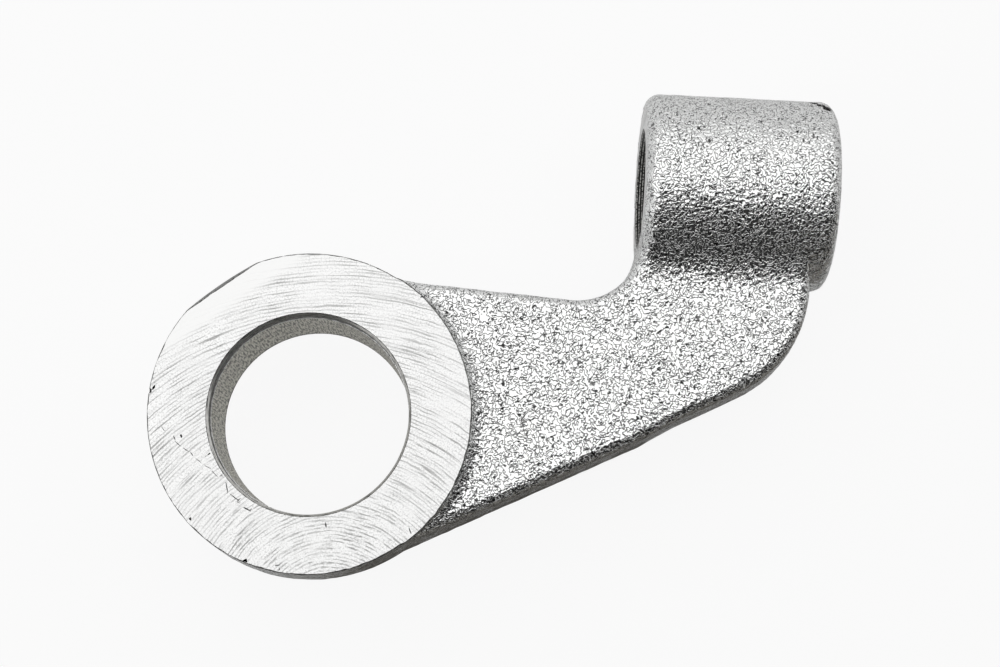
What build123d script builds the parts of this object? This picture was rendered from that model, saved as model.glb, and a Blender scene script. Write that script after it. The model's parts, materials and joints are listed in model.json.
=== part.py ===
from build123d import *
import os
from math import acos, atan2, cos, degrees, hypot, isclose, radians, sin, sqrt, tan

# Lower hitch bracket, one casting: a ring, a flat web and a threaded cross boss.
# Origin at the centre of the ring's bore, halfway through its width.
# +Z along the bore towards the shown face, +X along the cross boss. Millimetres.

# Ring
ring_bore_radius = 17.5
ring_bore_chamfer = 0.6
ring_width = 21.0
ring_rim_radius = 28.4         # at the machined faces
ring_rim_rise = 0.35           # the rim as cast stands this far above the bore

# Ground patch on the ring's edge, where the casting's gate was taken off
gate_direction = 128.0         # degrees round the bore from +X
gate_distance = 27.65          # from the bore to the patch, in the machined face
gate_lean = 20.0               # degrees that the patch leans back from the face

# Casting
draft_angle = 3.0
web_thickness = 18.0
web_edge_round = 2.0
foot_round = 3.0               # where the ring rises from the web
rim_cover = 0.25               # how far the web and its foot lap over the rim
rim_top_fillet = 8.0           # outline between the rim and the web's top edge

# Web outline at the parting line
knee_point = (58.4, -2.1)      # the lower edge bends up here
step_point = (65.0, 1.9)       # and back down here
knee_round = 12.0
heel_centre = (66.2, 27.6)
heel_radius = 22.2
top_edge_drop = 2.9            # below the rim's top, measured over the bore
top_edge_slope = -3.6          # degrees
neck_fillet = 11.0             # between the top edge and the neck
neck_blend_rise = 3.3          # above the neck's corner, where the web's faces sweep out to the boss

# Cross boss, with its axis in the ring's middle plane
boss_centre_x = 74.7
boss_axis_y = 46.0
boss_radius = 17.5
boss_length = 34.5
boss_end_round = 2.6
thread_bore_radius = 9.25      # plain wall, at the tapping size of a 20 mm fine thread
thread_mouth_radius = 11.1     # countersink at each end
spot_face_radius = 12.2        # machined round the mouth, where the neck stands proud of the boss's end

# Cutting shapes run this far past the surfaces that they cut
overrun = 1.0

# Worked out from the sizes above
web_half = web_thickness / 2
ring_half = ring_width / 2
draft_slope = tan(radians(draft_angle))
boss_left = boss_centre_x - boss_length / 2
boss_right = boss_centre_x + boss_length / 2
neck_x = boss_left - web_half * draft_slope
rim_centre = (0.0, ring_rim_rise)
rim_mid_radius = ring_rim_radius + ring_half * draft_slope
top_edge_height = ring_rim_rise + rim_mid_radius - top_edge_drop
neck_corner = (neck_x, top_edge_height + neck_x * tan(radians(top_edge_slope)))
neck_blend_start = neck_corner[1] + neck_blend_rise
boss_frame = Plane(origin=(boss_centre_x, boss_axis_y, 0), z_dir=(1, 0, 0))


def along(centre, radius, angle):
    """Point on a circle."""
    turn = radians(angle)
    return (centre[0] + radius * cos(turn), centre[1] + radius * sin(turn))


def tangent_point(point, centre, radius, side):
    """Where a line from a point touches a circle, on one side or the other."""
    dx = point[0] - centre[0]
    dy = point[1] - centre[1]
    turn = atan2(dy, dx) + side * acos(radius / hypot(dx, dy))
    return (centre[0] + radius * cos(turn), centre[1] + radius * sin(turn))


def drafted(face, height):
    """Prism both ways from the parting plane, drawn in by the draft angle."""
    upper = extrude(face, height, taper=draft_angle)
    return upper + mirror(upper, Plane.XY)


def web_outline():
    """The casting's outline at the parting line, from just inside the rim to inside the boss."""
    rim_inner_radius = rim_mid_radius - rim_cover
    rim_touch = tangent_point(knee_point, rim_centre, rim_inner_radius - rim_cover, -1)
    heel_touch = tangent_point(step_point, heel_centre, heel_radius, 1)
    heel_top = along(heel_centre, heel_radius, 0)
    heel_middle = along(heel_centre, heel_radius, -30)
    with BuildSketch() as sketch:
        with BuildLine():
            Polyline(rim_touch, knee_point, step_point, heel_touch)
            ThreePointArc(heel_touch, heel_middle, heel_top)
            Polyline(
                heel_top,
                (heel_top[0], boss_axis_y),
                (neck_x, boss_axis_y),
                neck_corner,
                (0, top_edge_height),
                rim_touch,
            )
        make_face()
        with Locations(rim_centre):
            Circle(rim_inner_radius)
        over_rim = sqrt(rim_inner_radius**2 - (top_edge_height - ring_rim_rise) ** 2)
        rim_corner = (over_rim, top_edge_height)
        fillet(sketch.vertices().sort_by_distance(rim_corner)[0], rim_top_fillet)
        fillet(sketch.vertices().sort_by_distance(neck_corner)[0], neck_fillet)
        bends = [sketch.vertices().sort_by_distance(p)[0] for p in (knee_point, step_point)]
        fillet(bends, knee_round)
    return sketch.sketch


def neck_section():
    """Section of the web and neck in Y and Z, flared into the boss on both faces."""
    neck_height = boss_axis_y - neck_blend_start
    blend = (neck_height**2 + web_half**2 - boss_radius**2) / (2 * (boss_radius - web_half))
    blend_centre = (neck_blend_start, web_half + blend)
    towards_boss = degrees(atan2(-blend_centre[1], neck_height))
    web_touch = along(blend_centre, blend, -90)
    blend_middle = along(blend_centre, blend, (towards_boss - 90) / 2)
    boss_touch = along(blend_centre, blend, towards_boss)
    with BuildSketch(Plane.YZ) as sketch:
        with BuildLine():
            Polyline((boss_axis_y, 0), (-ring_rim_radius, 0), (-ring_rim_radius, web_half), web_touch)
            ThreePointArc(web_touch, blend_middle, boss_touch)
            Line(boss_touch, (boss_axis_y, 0))
        make_face()
        mirror(about=Plane.XZ)
    return sketch.sketch, boss_touch[0]


def foot():
    """Disc under the ring whose edge sweeps down to the web's faces."""
    foot_z = web_half + foot_round
    foot_centre = (ring_rim_radius + rim_cover + sqrt(foot_round**2 - (foot_z - ring_half) ** 2), foot_z)
    with BuildSketch(Plane.XZ) as sketch:
        with BuildLine():
            Polyline((0, foot_z), (0, 0), (foot_centre[0], 0), (foot_centre[0], web_half))
            ThreePointArc(
                along(foot_centre, foot_round, -90),
                along(foot_centre, foot_round, -135),
                along(foot_centre, foot_round, 180),
            )
            Line(along(foot_centre, foot_round, 180), (0, foot_z))
        make_face()
        mirror(about=Plane.XZ)
    return Pos(*rim_centre, 0) * revolve(sketch.sketch, Axis.Z)


def web():
    """The web and neck, with their outer edges rounded."""
    outline = web_outline()
    section, flare_top = neck_section()
    skin = extrude(section, boss_right) + foot()
    plate = drafted(outline, boss_radius) & skin

    def is_outer_edge(edge):
        middle = edge.center()
        level = abs(middle.Z)
        drawn_in = outline.wire().distance_to(Vertex(middle.X, middle.Y, 0))
        on_wall = isclose(drawn_in, level * draft_slope, abs_tol=0.05)
        past_rim = hypot(middle.X, middle.Y - ring_rim_rise) > ring_rim_radius
        on_face = level > web_half or isclose(level, web_half, abs_tol=0.01)
        return on_wall and past_rim and on_face and middle.Y < flare_top

    return fillet(plate.edges().filter_by(is_outer_edge), web_edge_round)


def ring():
    """The ring's drafted rim as cast, solid, with its face stock."""
    with BuildSketch() as sketch:
        with Locations(rim_centre):
            Circle(rim_mid_radius)
    return drafted(sketch.sketch, web_half + foot_round)


def boss():
    """The cross boss, solid, with rounded ends."""
    turned = boss_frame * Cylinder(boss_radius, boss_length)
    return fillet(turned.edges().filter_by(GeomType.CIRCLE), boss_end_round)


def face_cuts():
    """What facing takes off above and below the ring."""
    depth = web_half + foot_round - ring_half + overrun
    reach = ring_rim_radius + rim_cover + foot_round + overrun
    above = Pos(*rim_centre, ring_half + depth / 2) * Cylinder(reach, depth)
    return above + mirror(above, Plane.XY)


def ring_bore():
    """The bore with a small chamfer at each end."""
    flare = ring_bore_chamfer + overrun
    mouth = Pos(0, 0, ring_half + overrun - flare / 2) * Cone(ring_bore_radius, ring_bore_radius + flare, flare)
    return Cylinder(ring_bore_radius, ring_width + 2 * overrun) + mouth + mirror(mouth, Plane.XY)


def thread_bore():
    """The boss's bore with a countersink at each end."""
    flare = thread_mouth_radius - thread_bore_radius + overrun
    mouth = Pos(0, 0, boss_length / 2 + overrun - flare / 2) * Cone(
        thread_bore_radius, thread_bore_radius + flare, flare
    )
    hole = Cylinder(thread_bore_radius, boss_length + 2 * overrun) + mouth + mirror(mouth, Plane.XY)
    return boss_frame * hole


def spot_face():
    """What facing takes off the neck round the bore's left mouth."""
    depth = web_half * draft_slope + overrun
    return boss_frame * Pos(0, 0, -(boss_length + depth) / 2) * Cylinder(spot_face_radius, depth)


def gate_cut():
    """The slanted patch ground on the ring's edge."""
    lean = radians(gate_lean)
    x, y = along((0, 0), gate_distance, gate_direction)
    ux, uy = along((0, 0), cos(lean), gate_direction)
    patch = Plane(origin=(x, y, ring_half), z_dir=(ux, uy, sin(lean)))
    side = 2 * ring_rim_radius
    return patch * Pos(0, 0, side / 2) * Box(side, side, side)


casting = web() + ring() + boss()
casting = casting - face_cuts() - gate_cut() - ring_bore() - spot_face() - thread_bore()

os.makedirs("parts", exist_ok=True)
export_step(casting, "parts/hitch_bracket.step")
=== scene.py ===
import json
from math import cos, hypot, pi, radians, sin, tan

import bmesh
import bpy
from mathutils import Matrix, Vector, noise


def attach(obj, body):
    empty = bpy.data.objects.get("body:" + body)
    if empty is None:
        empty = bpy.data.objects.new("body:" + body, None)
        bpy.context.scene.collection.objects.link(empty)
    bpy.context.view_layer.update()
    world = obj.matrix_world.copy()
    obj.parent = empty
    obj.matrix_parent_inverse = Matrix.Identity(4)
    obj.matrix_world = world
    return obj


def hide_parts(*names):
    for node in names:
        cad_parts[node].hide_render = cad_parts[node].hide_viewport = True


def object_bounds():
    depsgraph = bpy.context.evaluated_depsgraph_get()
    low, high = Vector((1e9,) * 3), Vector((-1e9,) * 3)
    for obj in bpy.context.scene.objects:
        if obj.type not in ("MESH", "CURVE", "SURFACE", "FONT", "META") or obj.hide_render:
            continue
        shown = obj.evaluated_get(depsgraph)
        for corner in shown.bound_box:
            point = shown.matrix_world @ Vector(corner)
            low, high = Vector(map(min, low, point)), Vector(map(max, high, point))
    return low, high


# Lower hitch bracket: the looks of one shot-blasted casting with machined faces, on a pale studio floor.
# The dressed casting stands for the solid. It has the screw thread, small marks and the uneven cast skin.

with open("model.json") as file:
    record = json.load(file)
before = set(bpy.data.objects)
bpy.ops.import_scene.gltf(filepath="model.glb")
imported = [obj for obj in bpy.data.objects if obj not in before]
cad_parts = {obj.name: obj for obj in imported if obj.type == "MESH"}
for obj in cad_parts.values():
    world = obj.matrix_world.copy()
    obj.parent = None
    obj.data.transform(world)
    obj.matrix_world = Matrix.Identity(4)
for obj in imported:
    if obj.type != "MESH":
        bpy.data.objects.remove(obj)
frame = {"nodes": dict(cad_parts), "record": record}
cad_low, cad_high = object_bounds()

mm = 0.001
mounts = {mount["name"]: mount for mount in frame["record"]["mounts"]}
face_height = mounts["front_face"]["pos_m"][2]
ring_bore_radius = mounts["ring_bore"]["dims"]["r_mm"] * mm
boss_x, boss_y, _ = mounts["threaded_bore"]["pos_m"]
boss_half = cad_high.x - boss_x
boss_left = boss_x - boss_half

# Machined places, a little larger than they are, to pick their faces by
hair = 0.01 * mm
ring_mouth_radius = ring_bore_radius + 0.7 * mm
inside_rim = 27.5 * mm
thread_mouth_radius = 11.2 * mm
spot_face_radius = 12.25 * mm
gate_direction = radians(128)
gate_lean = radians(20)
gate_normal = Vector((cos(gate_direction) * cos(gate_lean), sin(gate_direction) * cos(gate_lean), sin(gate_lean)))

# Screw thread, 20 mm across with a fine pitch
thread_major_radius = 10.0 * mm
thread_minor_radius = 9.19 * mm
thread_pitch = 1.5 * mm
thread_steps = 72              # in one turn
spare_turns = 6                # of the tap, past the boss

# Narrow ledge in the shown end of the ring's bore
ledge_width = 0.13 * mm
ledge_depth = 3.0 * mm
ledge_sides = 256

# Cast skin and the machined faces' broken rim
grid_step = 0.85 * mm          # of the points in the cast skin
face_step = 3.4 * mm           # of the coarse grid in the machined faces
ripples = ((7.0 * mm, 0.07 * mm), (2.6 * mm, 0.06 * mm), (1.3 * mm, 0.05 * mm))   # size and height
parting_ridge = 0.10 * mm
parting_width = 0.6 * mm
parting_patch = 4 * mm         # size of the places where the ridge is higher or lower
rim_break = 0.14 * mm
rim_wander = 0.14 * mm
rim_wander_size = 1.1 * mm
sharp_angle = radians(32)

# Arcs that the facing cutter left on the ring
cutter_centre = (6 * mm, -36 * mm, 0)
cutter_feed = 0.62 * mm

# Chips near the ring's rim, two dents in the web's edge, and a pore and a nick on the boss.
# Place, radii and turn about Z, in mm and degrees.
chips = (
    ((-28.3, 2.6, 10.5), (0.62, 0.42, 0.9), 20),
    ((-27.5, 3.3, 10.5), (0.2, 0.5, 0.5), -25),
    ((9.6, 27.5, 10.5), (0.9, 0.22, 0.3), -20),
    ((-22.3, -17.5, 10.5), (0.35, 0.25, 0.4), 0),
    ((18.6, 21.8, 10.5), (0.13, 0.13, 0.12), 0),
    ((19.0, -19.5, 10.5), (0.1, 0.6, 0.12), 20),
    ((36.5, -7.1, 9.0), (0.75, 0.35, 0.35), 10),
    ((37.3, -6.6, 9.0), (0.3, 0.55, 0.3), -20),
    ((68.2, 51.3, 16.75), (0.3, 0.4, 0.3), 0),
    ((88.0, 61.7, 7.7), (0.95, 0.5, 0.8), -35),
    ((88.9, 60.9, 9.2), (1.0, 0.6, 0.9), -38),
    ((89.7, 60.0, 10.5), (0.9, 0.5, 0.9), -42),
)

chip_depth = 1.2 * mm          # no chip in the shown face goes deeper
chip_face_area = 0.12 * mm * mm   # a face of a chip on the boss is smaller, and one of the skin round it larger

# Pores and scratches in the shown machined face: place, half sizes and depth, and turn.
# 16 of the 28 come out sunk, and the others stay flat in the mesh.
pits = (
    ((-22.0, -5.0), (0.2, 0.32, 0.25), 20),
    ((-18.7, -7.0), (0.45, 0.25, 0.32), -13),
    ((-17.5, -8.4), (0.22, 0.21, 0.24), 7),
    ((-16.9, -7.9), (0.3, 0.12, 0.15), 40),
    ((-19.3, -19.4), (0.24, 0.26, 0.25), 0),
    ((-18.9, -17.6), (0.12, 0.3, 0.12), 10),
    ((-8.7, -25.1), (0.15, 0.15, 0.15), 0),
    ((-11.4, -23.0), (0.15, 0.12, 0.12), 0),
    ((-3.6, -26.6), (0.45, 0.1, 0.1), 5),
    ((-2.4, -26.3), (0.35, 0.09, 0.1), 55),
    ((3.6, -27.1), (0.14, 0.14, 0.12), 0),
    ((4.3, -19.2), (0.12, 0.45, 0.12), 15),
    ((4.2, 26.5), (0.14, 0.12, 0.12), 0),
    ((5.4, 25.1), (0.15, 0.13, 0.12), 0),
    ((26.2, -3.7), (0.15, 0.13, 0.12), 0),
    ((23.5, 7.4), (0.12, 0.12, 0.1), 0),
    ((-25.3, -3.9), (0.5, 0.05, 0.07), -50),
    ((-24.4, -4.9), (0.55, 0.06, 0.08), -30),
    ((-23.2, -5.4), (0.4, 0.08, 0.08), -60),
    ((-22.5, -6.4), (0.7, 0.05, 0.07), -38),
    ((-21.0, -7.4), (0.6, 0.06, 0.08), -30),
    ((-19.9, -8.1), (0.45, 0.07, 0.08), -52),
    ((-18.6, -9.2), (0.75, 0.05, 0.07), -36),
    ((-17.0, -10.2), (0.6, 0.05, 0.07), -28),
    ((-15.6, -11.4), (0.7, 0.05, 0.07), -44),
    ((-13.4, -13.5), (0.08, 1.0, 0.1), 15),
    ((-11.9, -15.3), (0.9, 0.08, 0.1), -35),
    ((-9.6, -17.2), (0.7, 0.1, 0.12), -25),
)
pit_sides = 9
pit_wander = 0.5               # share by which a pit's sides lie nearer or farther
wide_pit = 0.1 * mm            # wider than this, a pit has walls and a floor

finishes = (
    "cast_skin",
    "faced_ring",
    "bored_wall",
    "bore_chamfer",
    "cut_thread",
    "ground_patch",
    "dark_pit",
    "broken_edge_painted_shade",
)


def merged_copy(node):
    """The CAD node's mesh with its loose triangles joined."""
    bm = bmesh.new()
    bm.from_mesh(node.data)
    bmesh.ops.remove_doubles(bm, verts=bm.verts, dist=0.001 * mm)
    bmesh.ops.dissolve_limit(bm, angle_limit=radians(0.05), verts=bm.verts, edges=bm.edges)
    return bm


def break_rim(bm):
    """Takes the sharp corner off the rim of both machined faces."""
    rim = []
    for edge in bm.edges:
        on_face = all(abs(abs(vert.co.z) - face_height) < 0.005 * mm for vert in edge.verts)
        on_rim = all(hypot(vert.co.x, vert.co.y) > inside_rim for vert in edge.verts)
        if on_face and on_rim and edge.calc_face_angle(0) > radians(10):
            rim.append(edge)
    bmesh.ops.bevel(
        bm, geom=rim, affect="EDGES", offset=rim_break, segments=1, profile=0.5, material=-1, clamp_overlap=True
    )


def mesh_object(bm, name):
    """A new object at the origin that holds the mesh."""
    mesh = bpy.data.meshes.new(name)
    bm.to_mesh(mesh)
    bm.free()
    piece = bpy.data.objects.new(name, mesh)
    bpy.context.scene.collection.objects.link(piece)
    return piece


def thread_tap():
    """A screw with the thread's full form, longer than the boss, to cut the thread with."""
    depth = thread_major_radius - thread_minor_radius
    flank = depth * tan(radians(30))
    crest = thread_pitch / 8
    root = thread_pitch - crest - 2 * flank
    profile = (
        (0, thread_minor_radius),
        (root, thread_minor_radius),
        (root + flank, thread_major_radius),
        (root + flank + crest, thread_major_radius),
        (thread_pitch, thread_minor_radius),
    )
    turns = round(2 * boss_half / thread_pitch) + spare_turns
    start = boss_x - turns / 2 * thread_pitch
    bm = bmesh.new()
    points = [bm.verts.new((start + along, boss_y + radius, 0)) for along, radius in profile]
    edges = [bm.edges.new(pair) for pair in zip(points, points[1:])]
    bmesh.ops.spin(
        bm,
        geom=points + edges,
        cent=(0, boss_y, 0),
        axis=(1, 0, 0),
        dvec=(thread_pitch / thread_steps, 0, 0),
        angle=2 * pi * turns,
        steps=thread_steps * turns,
    )
    bmesh.ops.remove_doubles(bm, verts=bm.verts, dist=0.005 * mm)
    for side in (-1, 1):
        end = Vector((boss_x + side * (boss_half + 1.5 * thread_pitch), 0, 0))
        geometry = bm.verts[:] + bm.edges[:] + bm.faces[:]
        bmesh.ops.bisect_plane(bm, geom=geometry, plane_co=end, plane_no=(side, 0, 0), clear_outer=True)
    rims = [edge for edge in bm.edges if edge.is_boundary]
    bmesh.ops.holes_fill(bm, edges=rims, sides=0)
    bmesh.ops.recalc_face_normals(bm, faces=bm.faces)
    return mesh_object(bm, "thread_tap")


def chip_cutters():
    """Small uneven lumps, one for each chip or dent."""
    bm = bmesh.new()
    for place, radii, turn in chips:
        lump = bmesh.ops.create_icosphere(bm, subdivisions=2, radius=1)["verts"]
        for vert in lump:
            vert.co *= 1 + 0.3 * noise.noise(2 * vert.co + Vector(place))
        shape = Matrix.Translation(place) @ Matrix.Rotation(radians(turn), 4, "Z") @ Matrix.Diagonal((*radii, 1))
        bmesh.ops.transform(bm, matrix=Matrix.Scale(mm, 4) @ shape, verts=lump)
    return mesh_object(bm, "chip_cutters")


def ledge_cutter():
    """A short disc that leaves the ledge in the shown end of the ring's bore."""
    bm = bmesh.new()
    radius = ring_bore_radius + ledge_width
    bmesh.ops.create_cone(
        bm, cap_ends=True, segments=ledge_sides, radius1=radius, radius2=radius, depth=2 * ledge_depth
    )
    bmesh.ops.translate(bm, verts=bm.verts, vec=(0, 0, face_height))
    return mesh_object(bm, "ledge_cutter")


def cut(piece, tool, crossing=False):
    """Takes the tool's shape out of the piece, and deletes the tool. Parts of a crossing tool overlap."""
    modifier = piece.modifiers.new("cut", "BOOLEAN")
    modifier.operation = "DIFFERENCE"
    modifier.solver = "EXACT"
    modifier.use_self = crossing
    modifier.object = tool
    seen = piece.evaluated_get(bpy.context.evaluated_depsgraph_get())
    result = bpy.data.meshes.new_from_object(seen)
    piece.modifiers.clear()
    piece.data = result
    bpy.data.objects.remove(tool)


def on_machined_plane(face):
    """Whether a face lies in the plane of one of the ring's machined faces."""
    centre = face.calc_center_median()
    return abs(abs(centre.z) - face_height) < hair and centre.x < 2 * ring_bore_radius


def on_broken_edge(face):
    """Whether a face of the cast skin is the machined face's broken rim."""
    centre = face.calc_center_median()
    on_rim = abs(centre.z) > face_height - 0.8 * rim_break and hypot(centre.x, centre.y) > inside_rim
    return on_rim and centre.x < 2 * ring_bore_radius


def in_chip(place):
    """Whether a place lies in one of the chips or dents."""
    for (x, y, z), (across, along, deep), turn in chips:
        aside = Matrix.Rotation(-radians(turn), 3, "Z") @ (place / mm - Vector((x, y, z)))
        if abs(aside.x) < 1.4 * across and abs(aside.y) < 1.4 * along and abs(aside.z) < 1.4 * deep:
            return True
    return False


def finish_of(face):
    """Which finish a face has, from its place and direction."""
    centre = face.calc_center_median()
    normal = face.normal
    from_boss_axis = hypot(centre.y - boss_y, centre.z)
    if from_boss_axis < thread_mouth_radius and abs(centre.x - boss_x) < boss_half - hair:
        return "cut_thread"
    if from_boss_axis < spot_face_radius and abs(centre.x - boss_left) < hair:
        return "faced_ring"
    from_bore_axis = hypot(centre.x, centre.y)
    if from_bore_axis < ring_mouth_radius and abs(centre.z) < face_height - hair:
        if abs(normal.z) > 0.9:
            return "faced_ring"
        if abs(normal.z) > 0.3:
            return "bore_chamfer"
        return "broken_edge_painted_shade" if from_bore_axis > ring_bore_radius + ledge_width / 2 else "bored_wall"
    if face_height - chip_depth < centre.z < face_height - hair and in_chip(centre):
        return "dark_pit"
    if centre.x > boss_left and centre.y > boss_y and face.calc_area() < chip_face_area and in_chip(centre):
        return "dark_pit"
    if on_machined_plane(face) and abs(normal.z) > 0.99:
        return "faced_ring"
    if normal.dot(gate_normal) > 0.998 and centre.x < 0:
        return "ground_patch"
    return "cast_skin"


def reach(face, axis):
    """Lowest and highest place of a face along an axis."""
    places = [vert.co[axis] for vert in face.verts]
    return min(places), max(places)


def slice_faces(faces, bm, axis, step):
    """Cuts faces along evenly spaced planes across an axis."""
    slack = 0.001 * mm
    waiting = sorted(faces, key=lambda face: reach(face, axis)[0], reverse=True)
    active = []
    plane = cad_low[axis] + step / 2
    across = [0, 0, 0]
    across[axis] = 1
    while plane < cad_high[axis]:
        while waiting and reach(waiting[-1], axis)[0] < plane - slack:
            active.append(waiting.pop())
        crossing = [face for face in active if reach(face, axis)[1] > plane + slack]
        geometry = set(crossing)
        for face in crossing:
            geometry.update(face.edges)
            geometry.update(face.verts)
        cut_parts = bmesh.ops.bisect_plane(
            bm, geom=list(geometry), dist=slack, plane_co=Vector(across) * plane, plane_no=across
        )["geom"]
        active = [part for part in cut_parts if isinstance(part, bmesh.types.BMFace)]
        active = [face for face in active if reach(face, axis)[1] > plane + slack]
        plane += step


def roughen(bm):
    """Moves the cast skin in and out a little, and the rim of the machined face within its plane."""
    bm.normal_update()
    moved = []
    for vert in bm.verts:
        kinds = {finishes[face.material_index] for face in vert.link_faces}
        if kinds == {"cast_skin"}:
            height = sum(high * noise.noise(vert.co / size) for size, high in ripples)
            wall = 1 - min(1, abs(vert.normal.z) * 3)
            near = max(0, 1 - abs(vert.co.z) / parting_width)
            height += parting_ridge * wall * near * (0.6 + 0.6 * noise.noise(vert.co / parting_patch))
            moved.append((vert, vert.co + vert.normal * height))
        elif kinds == {"broken_edge_painted_shade", "faced_ring"}:
            outward = Vector((vert.normal.x, vert.normal.y, 0)).normalized()
            wander = rim_wander * noise.noise(vert.co / rim_wander_size)
            moved.append((vert, vert.co + outward * wander))
    for vert, place in moved:
        vert.co = [min(max(at, low), high) for at, low, high in zip(place, cad_low, cad_high)]


def shells(bm):
    """The faces, parted into connected shells."""
    waiting = set(bm.faces)
    found = []
    while waiting:
        shell = [waiting.pop()]
        for face in shell:
            for edge in face.edges:
                for neighbour in edge.link_faces:
                    if neighbour in waiting:
                        waiting.remove(neighbour)
                        shell.append(neighbour)
        found.append(shell)
    return found


def drop_stray_faces(bm):
    """Deletes flaps without thickness and loose crumbs, and leaves one closed shell."""
    same = {}
    for face in bm.faces:
        same.setdefault(frozenset(face.verts), []).append(face)
    flaps = [face for faces in same.values() if len(faces) > 1 for face in faces]
    bmesh.ops.delete(bm, geom=flaps, context="FACES")
    parts = sorted(shells(bm), key=len)
    crumbs = [face for shell in parts[:-1] for face in shell]
    bmesh.ops.delete(bm, geom=crumbs, context="FACES")


def sink_pit(bm, place, radii, turn):
    """Sinks an uneven pit or scratch into the shown machined face."""
    across, along, deep = (size * mm for size in radii)
    centre = Vector((place[0] * mm, place[1] * mm, face_height))
    radius = (1 + pit_wander) * max(across, along)
    inside = []
    for face in bm.faces:
        level = abs(face.calc_center_median().z - face_height) <= hair
        if not level or finishes[face.material_index] != "faced_ring":
            continue
        (left, right), (near, far) = reach(face, 0), reach(face, 1)
        beside = left < centre.x + radius and right > centre.x - radius
        if beside and near < centre.y + radius and far > centre.y - radius:
            inside.append(face)
    turned = Matrix.Rotation(radians(turn), 3, "Z")
    for side in range(pit_sides):
        angle = 2 * pi * side / pit_sides
        facing = Vector((cos(angle) / across, sin(angle) / along, 0)).normalized()
        uneven = 1 + pit_wander * noise.noise(centre * 700 + facing * 3)
        out = hypot(facing.x * across, facing.y * along) * uneven
        facing = turned @ facing
        geometry = set(inside)
        for face in inside:
            geometry.update(face.edges)
            geometry.update(face.verts)
        parts = bmesh.ops.bisect_plane(
            bm, geom=list(geometry), dist=0.0005 * mm, plane_co=centre + facing * out, plane_no=facing
        )["geom"]
        inside = [part for part in parts if isinstance(part, bmesh.types.BMFace)]
        inside = [face for face in inside if (face.calc_center_median() - centre).dot(facing) < out]
    floor = bmesh.ops.dissolve_faces(bm, faces=inside)["region"]
    if min(across, along) > wide_pit:
        slope = 0.3 * min(across, along)
        walls = bmesh.ops.inset_individual(bm, faces=floor, thickness=slope, depth=-0.6 * deep)["faces"]
        for face in walls + floor:
            face.material_index = finishes.index("dark_pit")
        deep = 0.4 * deep
    for face in bmesh.ops.poke(bm, faces=floor, offset=-deep)["faces"]:
        face.material_index = finishes.index("dark_pit")


def mark_sharp_edges(bm):
    """Keeps the edges between finishes crisp, and every real corner."""
    for edge in bm.edges:
        kinds = {face.material_index for face in edge.link_faces}
        edge.smooth = len(kinds) == 1 and edge.calc_face_angle(0) < sharp_angle


def dressed_casting():
    """The casting with its thread, ledge, marks and uneven skin, as one closed mesh."""
    bm = merged_copy(frame["nodes"]["hitch_bracket"])
    break_rim(bm)
    for axis in (0, 1):
        machined = [face for face in bm.faces if abs(face.normal.z) > 0.999 and on_machined_plane(face)]
        slice_faces(machined, bm, axis, face_step)
    piece = mesh_object(bm, "bracket_casting")
    cut(piece, thread_tap())
    cut(piece, ledge_cutter())
    cut(piece, chip_cutters(), crossing=True)
    bm = bmesh.new()
    bm.from_mesh(piece.data)
    bmesh.ops.remove_doubles(bm, verts=bm.verts, dist=0.0005 * mm)
    bm.normal_update()
    for face in bm.faces:
        face.material_index = finishes.index(finish_of(face))
        face.smooth = True
    skin = finishes.index("cast_skin")
    for axis in range(3):
        slice_faces([face for face in bm.faces if face.material_index == skin], bm, axis, grid_step)
    bmesh.ops.triangulate(bm, faces=bm.faces, quad_method="BEAUTY", ngon_method="EAR_CLIP")
    bmesh.ops.dissolve_degenerate(bm, edges=bm.edges, dist=0.001 * mm)
    drop_stray_faces(bm)
    bm.normal_update()
    for place, radii, turn in pits:
        sink_pit(bm, place, radii, turn)
    bmesh.ops.triangulate(bm, faces=bm.faces, quad_method="BEAUTY", ngon_method="EAR_CLIP")
    for face in bm.faces:
        if face.material_index == skin and on_broken_edge(face):
            face.material_index = finishes.index("broken_edge_painted_shade")
    roughen(bm)
    mark_sharp_edges(bm)
    bm.to_mesh(piece.data)
    bm.free()
    return piece


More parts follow.
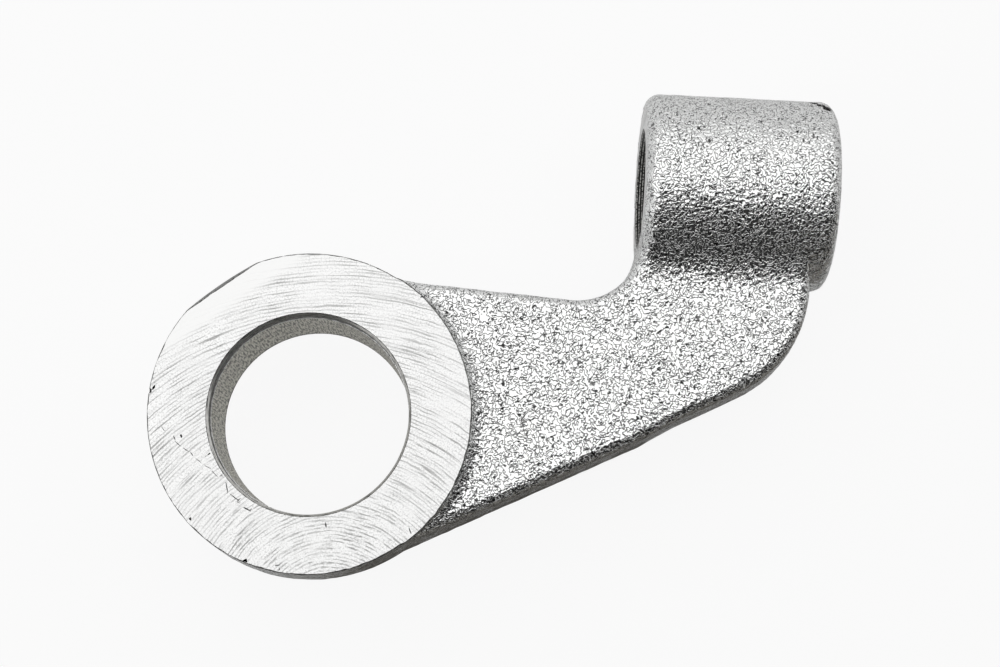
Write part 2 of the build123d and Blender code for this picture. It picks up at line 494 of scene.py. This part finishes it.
class Nodes:
    """Short hand for a material's nodes."""

    def __init__(self, name):
        self.material = bpy.data.materials.new(name)
        self.material.use_nodes = True
        self.tree = self.material.node_tree
        self.shader = self.tree.nodes["Principled BSDF"]
        self.place = self.add("ShaderNodeTexCoord").outputs["Object"]

    def add(self, kind, **settings):
        node = self.tree.nodes.new(kind)
        for name, value in settings.items():
            setattr(node, name, value)
        return node

    def feed(self, socket, value):
        if isinstance(value, bpy.types.NodeSocket):
            self.tree.links.new(value, socket)
        elif isinstance(value, tuple) and len(socket.default_value) == 4:
            socket.default_value = (*value, 1)
        else:
            socket.default_value = value

    def math(self, operation, *inputs):
        node = self.add("ShaderNodeMath", operation=operation)
        for socket, value in zip(node.inputs, inputs):
            self.feed(socket, value)
        return node.outputs[0]

    def axes(self, place):
        node = self.add("ShaderNodeSeparateXYZ")
        self.feed(node.inputs[0], place)
        return node.outputs

    def length(self, x, y):
        squares = self.math("ADD", self.math("MULTIPLY", x, x), self.math("MULTIPLY", y, y))
        return self.math("SQRT", squares)

    def moved(self, centre, turn=0.0):
        """Object coordinates about another centre, turned about Z."""
        node = self.add("ShaderNodeMapping", vector_type="TEXTURE")
        self.feed(node.inputs["Vector"], self.place)
        node.inputs["Location"].default_value = centre
        node.inputs["Rotation"].default_value = (0, 0, turn)
        return node.outputs[0]

    def combine(self, *values):
        node = self.add("ShaderNodeCombineXYZ")
        for socket, value in zip(node.inputs, values):
            self.feed(socket, value)
        return node.outputs[0]

    def noise(self, size, detail=1.0, roughness=0.5, distortion=0.0, place=None):
        node = self.add("ShaderNodeTexNoise")
        node.inputs["Scale"].default_value = 1 / size
        node.inputs["Detail"].default_value = detail
        node.inputs["Roughness"].default_value = roughness
        node.inputs["Distortion"].default_value = distortion
        self.feed(node.inputs["Vector"], place or self.place)
        return node.outputs[0]

    def ramp(self, value, *stops):
        """A grey or coloured ramp through the stops."""
        node = self.add("ShaderNodeValToRGB")
        elements = node.color_ramp.elements
        while len(elements) < len(stops):
            elements.new(0.5)
        for element, (at, colour) in zip(elements, stops):
            element.position = at
            element.color = (*colour, 1) if isinstance(colour, tuple) else (colour, colour, colour, 1)
        self.feed(node.inputs[0], value)
        return node.outputs[0]

    def mix(self, share, first, second, blend="MIX"):
        node = self.add("ShaderNodeMix", data_type="RGBA", blend_type=blend)
        for socket, value in zip((node.inputs[0], node.inputs[6], node.inputs[7]), (share, first, second)):
            self.feed(socket, value)
        return node.outputs[2]

    def bump(self, height, distance, before=None):
        node = self.add("ShaderNodeBump")
        node.inputs["Distance"].default_value = distance
        self.feed(node.inputs["Height"], height)
        if before:
            self.feed(node.inputs["Normal"], before)
        return node.outputs[0]

    def near_gate(self):
        """Zero on the smooth patch beside the ground gate, one elsewhere."""
        along, _, _ = self.axes(self.moved((0, 0, 0), gate_direction))
        return self.ramp(self.math("DIVIDE", along, 30 * mm), (22.5 / 30, 1.0), (24.5 / 30, 0.0))

    def finish(self, **values):
        """Sets the shader's sockets, named with underscores."""
        for name, value in values.items():
            self.feed(self.shader.inputs[name.replace("_", " ").title()], value)
        return self.material


def cast_skin():
    """Shot-blasted iron: bright pebbles between winding grooves, with painted shade darkening the groove bottoms.
    """
    n = Nodes("cast_skin")
    winding = n.noise(0.58 * mm, detail=0.3, roughness=0.45, distortion=0.5)
    from_groove = n.math("ABSOLUTE", n.math("SUBTRACT", winding, 0.5))
    groove = n.ramp(from_groove, (0.0, 0.0), (0.11, 1.0))
    # Painted shade: the groove bottoms are coloured near black (0.02) in patches below, for the shade in them.
    groove_painted_shade = n.ramp(from_groove, (0.021, 1.0), (0.056, 0.0))
    patchy = n.ramp(n.noise(1.5 * mm), (0.35, 0.70), (0.55, 1.0))
    pebbles = n.noise(0.66 * mm, detail=0.0)
    broad = n.noise(2.6 * mm, detail=1.0)
    shade = n.mix(n.math("MULTIPLY", groove_painted_shade, patchy), (0.97, 0.975, 0.97), (0.02, 0.02, 0.02))
    rise = n.bump(groove, 0.07 * mm, n.bump(pebbles, 0.19 * mm, n.bump(broad, 0.08 * mm)))
    return n.finish(Base_Color=shade, Metallic=0.96, Roughness=0.11, Normal=rise)


def faced_ring():
    """Bright machined face with the broken arcs of the cutter."""
    n = Nodes("faced_ring")
    x, y, _ = n.axes(n.moved(cutter_centre))
    out = n.length(x, y)
    around = n.math("ARCTAN2", x, y)
    wobble = n.noise(3 * mm, detail=2.0)
    steps = n.math("ADD", n.math("DIVIDE", out, 0.36 * mm), n.math("MULTIPLY", wobble, 1.8))
    arcs = n.noise(1.0, detail=2.0, roughness=0.6, place=n.combine(steps, n.math("MULTIPLY", around, 3), 0))
    feed = n.math("DIVIDE", out, cutter_feed / (2 * pi))
    turns = n.math("SINE", n.math("ADD", feed, n.math("MULTIPLY", wobble, 4.0)))
    arcs = n.math("ADD", arcs, n.math("MULTIPLY", turns, 0.09))
    spread = n.combine(n.math("DIVIDE", out, 0.6 * mm), n.math("MULTIPLY", around, 10), 5)
    breaks = n.noise(1.0, detail=3.0, place=spread)
    grain = n.noise(0.30 * mm, detail=2.0, roughness=0.6)
    worn = n.ramp(n.noise(7 * mm, detail=2.0), (0.36, 1.0), (0.62, 0.55))
    lines = n.ramp(arcs, (0.34, 0.0), (0.50, 1.0))
    gaps = n.ramp(breaks, (0.46, 0.0), (0.62, 0.80))
    rough = n.ramp(grain, (0.36, 0.55), (0.52, 1.0))
    marked = n.mix(n.mix(gaps, lines, (1.0, 1.0, 1.0)), (0.35, 0.35, 0.345), (0.895, 0.895, 0.89))
    worked = n.mix(0.7, marked, rough, "MULTIPLY")
    shade = n.mix(n.math("MULTIPLY", worn, n.near_gate()), (0.84, 0.84, 0.835), worked)
    return n.finish(Base_Color=shade, Metallic=0.95, Roughness=0.34, Normal=n.bump(lines, 0.012 * mm))


def bored_wall():
    """Bored iron, grey and speckled, with fine turned lines, and painted shade darkening the bore's far end."""
    n = Nodes("bored_wall")
    x, y, z = n.axes(n.place)
    around = n.math("ARCTAN2", x, y)
    rings = n.combine(n.math("MULTIPLY", around, 12), n.math("DIVIDE", z, 0.5 * mm), 0)
    turned = n.noise(1.0, detail=2.0, place=rings)
    speckle = n.noise(1.0, place=n.combine(n.math("MULTIPLY", around, 62), n.math("DIVIDE", z, 2.4 * mm), 3))
    blend = n.math("ADD", n.math("MULTIPLY", turned, 0.2), n.math("MULTIPLY", speckle, 0.8))
    shade = n.ramp(blend, (0.40, (0.28, 0.27, 0.24)), (0.50, (0.76, 0.74, 0.67)), (0.59, (0.98, 0.965, 0.89)))
    # Painted shade: the wall's colour darkens towards the bore's far end.
    far_end_painted_shade = n.ramp(n.math("DIVIDE", z, -face_height), (0.82, 1.0), (0.92, 0.3))
    shade = n.mix(1.0, shade, far_end_painted_shade, "MULTIPLY")
    return n.finish(Base_Color=shade, Metallic=0.9, Roughness=0.36, Normal=n.bump(blend, 0.05 * mm))


def bore_chamfer():
    """Turned chamfer at the ring's bore, bright, with a dark ragged outer edge of painted shade."""
    n = Nodes("bore_chamfer")
    x, y, _ = n.axes(n.place)
    out = n.length(x, y)
    around = n.math("ARCTAN2", x, y)
    ragged = n.math("MULTIPLY", n.noise(0.7 * mm, detail=2.0), 0.5)
    from_wall = n.math("ADD", n.math("DIVIDE", n.math("SUBTRACT", out, ring_bore_radius), 0.6 * mm), ragged)
    # Painted shade: a near black ragged line along the chamfer's outer edge.
    edge = n.ramp(n.math("SUBTRACT", from_wall, 0.25), (0.78, 1.0), (0.90, 0.0))
    spread = n.combine(n.math("MULTIPLY", around, 7), n.math("DIVIDE", out, 0.3 * mm), 1)
    smears = n.noise(1.0, detail=2.0, place=spread)
    shade = n.ramp(smears, (0.32, (0.45, 0.45, 0.43)), (0.50, (0.96, 0.955, 0.93)))
    shade = n.mix(edge, (0.03, 0.03, 0.028), shade)
    return n.finish(Base_Color=shade, Metallic=0.9, Roughness=0.30)


def cut_thread():
    """Threaded wall and countersinks, near black with painted shade between fine bright turned lines."""
    n = Nodes("cut_thread")
    x, _, _ = n.axes(n.place)
    grain = n.noise(0.3 * mm, detail=2.0)
    turned = n.math("SINE", n.math("MULTIPLY", x, 2 * pi / (0.46 * mm)))
    lines = n.ramp(n.math("ADD", n.math("MULTIPLY", turned, 0.25), grain), (0.62, 0.0), (0.78, 1.0))
    # Painted shade: the thread is coloured near black between the turned lines, for the shade inside the bore.
    shade = n.mix(lines, (0.012, 0.012, 0.011), (0.55, 0.545, 0.53))
    return n.finish(Base_Color=shade, Metallic=0.9, Roughness=0.35, Normal=n.bump(lines, 0.03 * mm))


def ground_patch():
    """The gate's stub, ground off in short straight strokes."""
    n = Nodes("ground_patch")
    _, y, z = n.axes(n.moved((0, 0, 0), gate_direction))
    spread = n.combine(n.math("DIVIDE", y, 0.25 * mm), n.math("DIVIDE", z, 4 * mm), 0)
    strokes = n.noise(1.0, detail=2.0, place=spread)
    shade = n.ramp(strokes, (0.35, (0.03, 0.03, 0.03)), (0.60, (0.17, 0.17, 0.16)))
    return n.finish(Base_Color=shade, Metallic=0.9, Roughness=0.35, Normal=n.bump(strokes, 0.05 * mm))


def broken_edge_painted_shade():
    """The machined faces' rim, with its corner knocked off, dark and ragged with painted shade."""
    n = Nodes("broken_edge_painted_shade")
    # Painted shade: near black to dark grey colour on the rim and on the ledge's wall in the ring's bore.
    shade = n.ramp(n.noise(0.5 * mm, detail=2.0), (0.38, (0.04, 0.04, 0.04)), (0.62, (0.28, 0.28, 0.27)))
    return n.finish(Base_Color=shade, Metallic=0.8, Roughness=0.5)


def dark_pit():
    """Open pores and nicks, dark inside."""
    n = Nodes("dark_pit")
    shade = n.ramp(n.noise(0.2 * mm), (0.35, (0.02, 0.02, 0.02)), (0.65, (0.12, 0.12, 0.115)))
    return n.finish(Base_Color=shade, Metallic=0.6, Roughness=0.6)


def flat_panel(name, length, depth, place):
    """A flat stage panel, moved into place by a matrix."""
    bm = bmesh.new()
    bmesh.ops.create_grid(bm, x_segments=1, y_segments=1, size=0.5)
    bmesh.ops.transform(bm, matrix=place @ Matrix.Diagonal((length, depth, 1, 1)), verts=bm.verts)
    return mesh_object(bm, name)


def studio_floor():
    """A wide pale floor under the casting. It stays near white in the picture and keeps a soft shadow."""
    floor = flat_panel("studio_floor", 5, 5, Matrix.Translation((0, 0, cad_low.z)))
    n = Nodes("pale_floor")
    n.finish(Base_Color=(0.75, 0.75, 0.75), Roughness=0.9)
    rays = n.add("ShaderNodeLightPath").outputs
    seen = n.math("MULTIPLY", rays["Is Camera Ray"], 0.91)
    mirrored = n.math("MULTIPLY", n.math("ADD", rays["Is Glossy Ray"], rays["Is Transmission Ray"]), 0.06)
    white = n.add("ShaderNodeEmission")
    blend = n.add("ShaderNodeMixShader")
    n.feed(blend.inputs[0], n.math("ADD", seen, mirrored))
    n.feed(blend.inputs[1], n.shader.outputs[0])
    n.feed(blend.inputs[2], white.outputs[0])
    n.feed(n.tree.nodes["Material Output"].inputs["Surface"], blend.outputs[0])
    floor.data.materials.append(n.material)


def dark_card():
    """A dark card that the metal reflects, out of the camera's sight."""
    top = Vector((0, -0.254, 0.742))
    foot = Vector((0, -0.85, 0.0))
    slope = (top - foot).angle((0, 1, 0))
    turn = Matrix.Rotation(radians(25), 4, "Z")
    place = turn @ Matrix.Translation((top + foot) / 2) @ Matrix.Rotation(slope, 4, "X")
    card = flat_panel("dark_card", 2.2, (top - foot).length, place)
    n = Nodes("dark_card")
    n.finish(Base_Color=(0.005, 0.005, 0.005), Roughness=1.0)
    card.data.materials.append(n.material)
    card.visible_camera = False


def painted_shade_mat():
    """A dark mat beside the web's lower edge, seen only in the metal: painted shade of the floor in the
    reflections.
    """
    turn = Matrix.Rotation(radians(26), 4, "Z")
    place = Matrix.Translation((0, 0, cad_low.z + 0.1 * mm)) @ turn @ Matrix.Translation((0, -0.18, 0))
    mat = flat_panel("painted_shade_mat", 0.5, 0.3, place)
    n = Nodes("painted_shade_mat")
    n.finish(Base_Color=(0.21, 0.20, 0.18), Roughness=1.0)
    mat.data.materials.append(n.material)
    # Painted shade: hidden from the camera, diffuse light and shadows, it only darkens the floor seen in the
    # metal.
    mat.visible_camera = mat.visible_diffuse = mat.visible_shadow = False


def soft_sky():
    """Even light from above, weaker towards the horizon."""
    world = bpy.data.worlds.new("studio")
    world.use_nodes = True
    tree = world.node_tree
    direction = tree.nodes.new("ShaderNodeTexCoord").outputs["Generated"]
    axes = tree.nodes.new("ShaderNodeSeparateXYZ")
    ramp = tree.nodes.new("ShaderNodeValToRGB")
    ramp.color_ramp.elements[0].color = (0.35, 0.35, 0.35, 1)
    ramp.color_ramp.elements[1].position = 0.8
    tree.links.new(direction, axes.inputs[0])
    tree.links.new(axes.outputs["Z"], ramp.inputs[0])
    tree.links.new(ramp.outputs[0], tree.nodes["Background"].inputs["Color"])
    tree.nodes["Background"].inputs["Strength"].default_value = 1.2
    bpy.context.scene.world = world


def camera():
    """The photograph's view: nearly straight down on the shown face."""
    data = bpy.data.cameras.new("camera")
    data.sensor_width = 36
    data.lens = 66.6
    data.clip_start = 0.01
    eye = bpy.data.objects.new("camera", data)
    eye.location = Vector((34.4172, -35.2261, 333.8854)) * mm
    eye.rotation_euler = [radians(angle) for angle in (8.998, -0.1857, 2.8516)]
    bpy.context.scene.collection.objects.link(eye)
    bpy.context.scene.camera = eye


camera()
casting = dressed_casting()
for make in (cast_skin, faced_ring, bored_wall, bore_chamfer, cut_thread, ground_patch, dark_pit, broken_edge_painted_shade):
    casting.data.materials.append(make())
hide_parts("hitch_bracket")
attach(casting, "root")

studio_floor()
dark_card()
painted_shade_mat()
soft_sky()
bpy.context.scene.view_settings.view_transform = "Standard"
